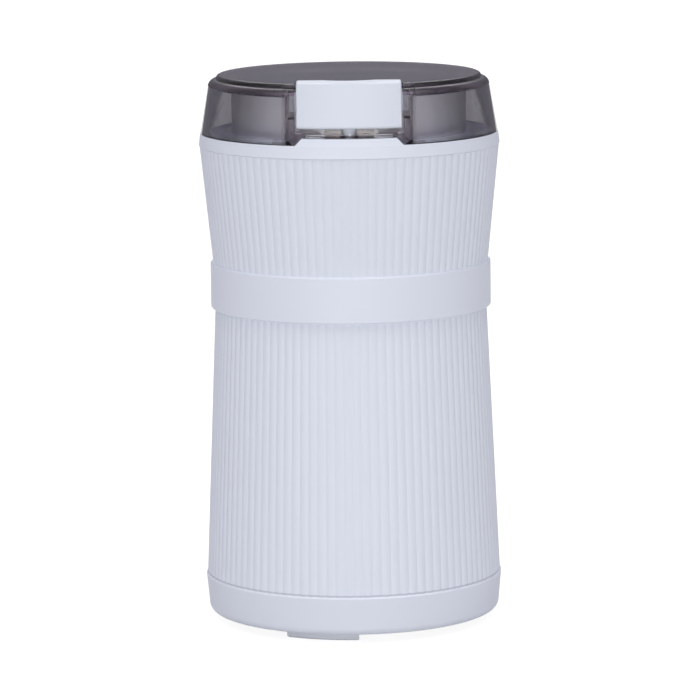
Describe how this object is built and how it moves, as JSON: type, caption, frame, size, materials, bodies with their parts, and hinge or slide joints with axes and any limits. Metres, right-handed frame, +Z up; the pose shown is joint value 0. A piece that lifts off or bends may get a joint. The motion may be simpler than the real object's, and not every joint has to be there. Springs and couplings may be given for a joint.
{
  "type": "electric coffee grinder",
  "caption": "Electric blade coffee grinder with a ribbed waisted body, a smoked clear lift-off lid, a push button in the lid, a steel grinding cup and a motor-driven blade.",
  "frame": {"origin": "centre of the feet's resting plane, under the motor axis", "axes": "+Z up along the motor axis, the button faces -Y, the cord inlet faces +Y"},
  "size_m": [0.0952, 0.0952, 0.175],
  "materials": {
    "shell_white": "satin moulded plastic",
    "band_white": "smooth satin plastic",
    "button_white": "smooth moulded plastic",
    "smoked_clear": "clear smoked plastic",
    "cup_steel": "drawn stainless steel",
    "blade_steel": "ground stainless steel",
    "shaft_steel": "bright drawn steel",
    "zinc_steel": "zinc plated steel",
    "grey_rubber": "soft grey rubber",
    "black_plastic": "filled black plastic",
    "rod_plastic": "natural slippery plastic",
    "die_cast": "die-cast aluminium",
    "laminations": "stacked steel sheets",
    "copper": "enamelled copper wire",
    "bronze": "plain bronze and brass",
    "carbon": "pressed carbon",
    "lead_brown": "brown wire insulation",
    "lead_blue": "blue wire insulation"
  },
  "bodies": {
    "housing": {"base_cap": "shell_white", "feet": "grey_rubber", "base_screws": "zinc_steel", "lower_housing": "shell_white", "upper_housing": "shell_white", "waist_band": "band_white", "top_collar": "shell_white", "cup_gasket": "grey_rubber", "grinding_cup": "cup_steel", "cup_nut": "zinc_steel", "rod_spring": "shaft_steel", "switch_bracket": "black_plastic", "microswitch": "black_plastic", "lever_pin": "shaft_steel", "upper_bracket": "die_cast", "lower_bracket": "die_cast", "upper_bearing": "bronze", "lower_bearing": "bronze", "tie_bolts": "zinc_steel", "stator_core": "laminations", "field_coils": "copper", "carbon_brushes": "carbon", "brush_holders": "bronze", "brush_springs": "shaft_steel", "motor_damper": "grey_rubber", "terminal_block": "black_plastic", "cord_gland": "grey_rubber", "cord_clamp": "black_plastic", "clamp_screws": "zinc_steel", "supply_lead": "lead_brown", "switch_lead": "lead_brown", "return_lead": "lead_blue"},
    "rotor": {"motor_shaft": "shaft_steel", "rotor_core": "laminations", "armature_winding": "copper", "commutator": "copper", "cooling_fan": "black_plastic", "blade_hub": "black_plastic", "grinding_blade": "blade_steel", "blade_nut": "blade_steel"},
    "lid": {"lid_shell": "smoked_clear"},
    "button": {"button_cap": "button_white"},
    "rod": {"switch_rod": "rod_plastic"},
    "lever": {"switch_lever": "shaft_steel"}
  },
  "joints": [
    {"name": "lid_lift", "type": "slide", "parent": "housing", "child": "lid", "axis": [0, 0, 1], "range_m": [0, 0.06]},
    {"name": "button_press", "type": "slide", "parent": "lid", "child": "button", "axis": [0, 0, -1], "range_m": [0, 0.0018], "stiffness_N_per_m": 400, "springref_m": -0.002},
    {"name": "rod_press", "type": "slide", "parent": "housing", "child": "rod", "axis": [0, 0, -1], "range_m": [0, 0.0018], "deforming": ["rod_spring"]},
    {"name": "lever_tilt", "type": "hinge", "parent": "housing", "child": "lever", "pos_m": [-0.0064, -0.0378, 0.14014], "axis": [0, 1, 0], "range_deg": [0, 16.2]},
    {"name": "rotor_spin", "type": "hinge", "parent": "housing", "child": "rotor", "pos_m": [0, 0, 0.08], "axis": [0, 0, 1], "continuous": true}
  ],
  "couplings": [
    {"joint": "rod_press", "follows": "button_press", "ratio": 1},
    {"joint": "lever_tilt", "follows": "button_press", "rad_per_m": 156.25}
  ]
}
